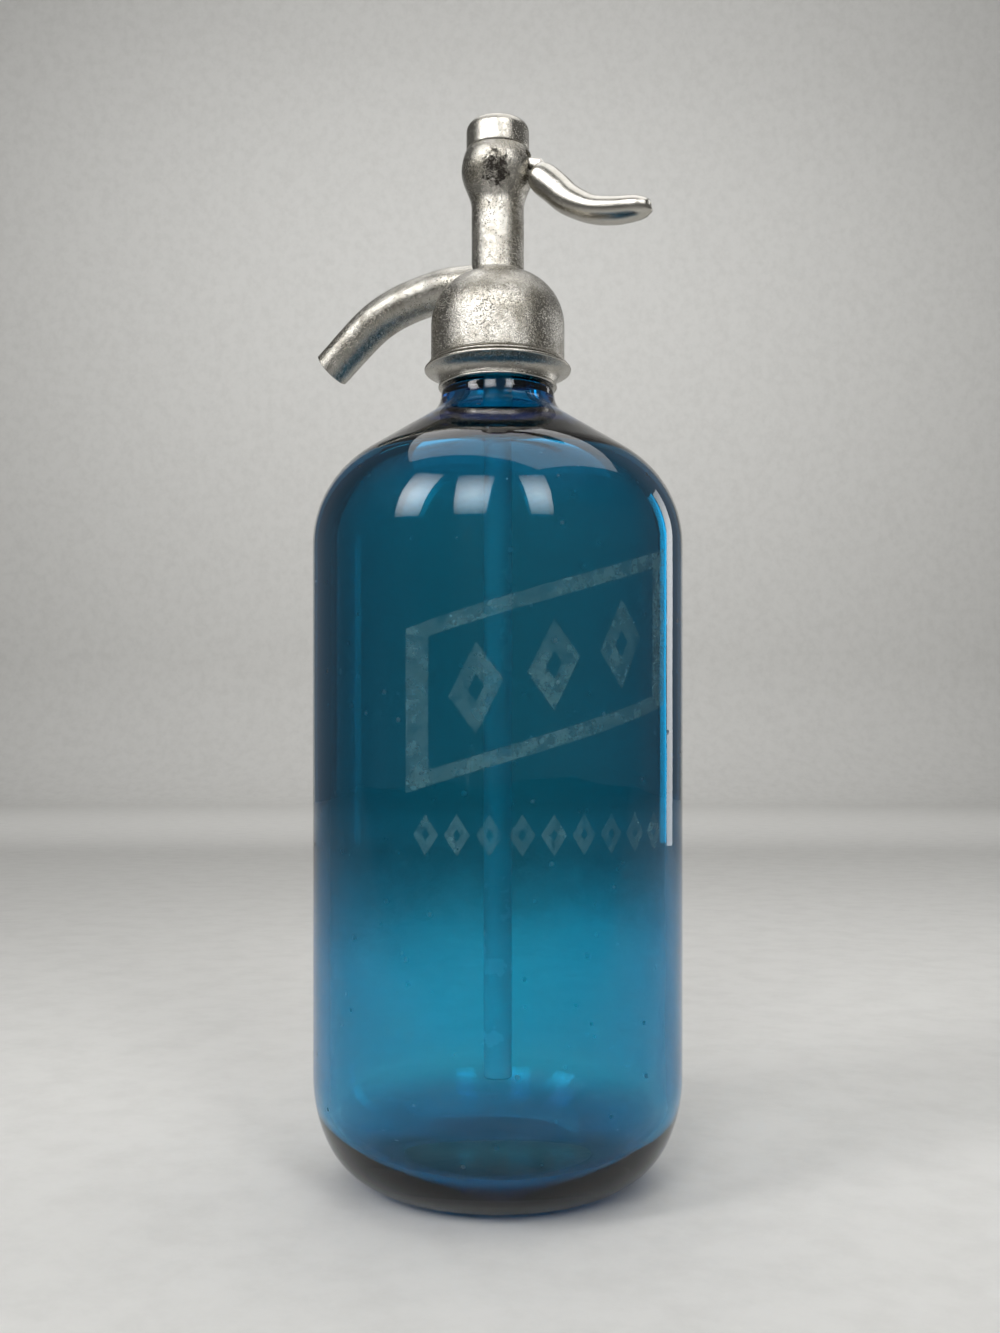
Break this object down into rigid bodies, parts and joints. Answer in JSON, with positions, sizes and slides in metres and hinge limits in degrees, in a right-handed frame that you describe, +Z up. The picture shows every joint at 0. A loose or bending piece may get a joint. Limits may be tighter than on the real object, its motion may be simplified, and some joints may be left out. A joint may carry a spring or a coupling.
{
  "type": "soda siphon",
  "caption": "Glass soda siphon with a cast metal head: a lever lifts a sprung valve stem, and the liquid rises through a dip tube to a curved spout.",
  "frame": {"origin": "centre of the flat underside of the bottle, on the bottle's axis", "axes": "+Z up along the bottle's axis, -X towards the spout, +X towards the lever"},
  "size_m": [0.1059, 0.1, 0.2887],
  "materials": {
    "blue_glass": "deep blue blown glass",
    "tube_glass": "clear glass",
    "nickel": "worn and pitted nickel plate",
    "brass": "machined",
    "spring_steel": "drawn wire",
    "rubber": "moulded"
  },
  "bodies": {
    "bottle": {"glass_bottle": "blue_glass", "dip_tube": "tube_glass", "tube_gasket": "rubber", "valve_seat": "brass", "seat_gasket": "rubber", "half_ring_front": "brass", "half_ring_back": "brass", "collar_nut": "nickel", "head_casting": "nickel", "top_cap": "nickel", "cap_gasket": "rubber", "stem_packing": "rubber", "packing_gland": "brass", "return_spring": "spring_steel"},
    "stem": {"valve_stem": "brass", "valve_washer": "rubber", "spring_seat": "brass"},
    "lever": {"lever": "nickel"}
  },
  "joints": [
    {"name": "lever_press", "type": "hinge", "parent": "bottle", "child": "lever", "pos_m": [0.0128, 0, 0.27119], "axis": [0, 1, 0], "range_deg": [0, 11], "stiffness_Nm_per_rad": 0.8, "springref_deg": -11.46},
    {"name": "valve_lift", "type": "slide", "parent": "bottle", "child": "stem", "axis": [0, 0, 1], "range_m": [0, 0.00248], "deforming": ["return_spring"]}
  ],
  "couplings": [
    {"joint": "valve_lift", "follows": "lever_press", "m_per_rad": 0.0128}
  ]
}
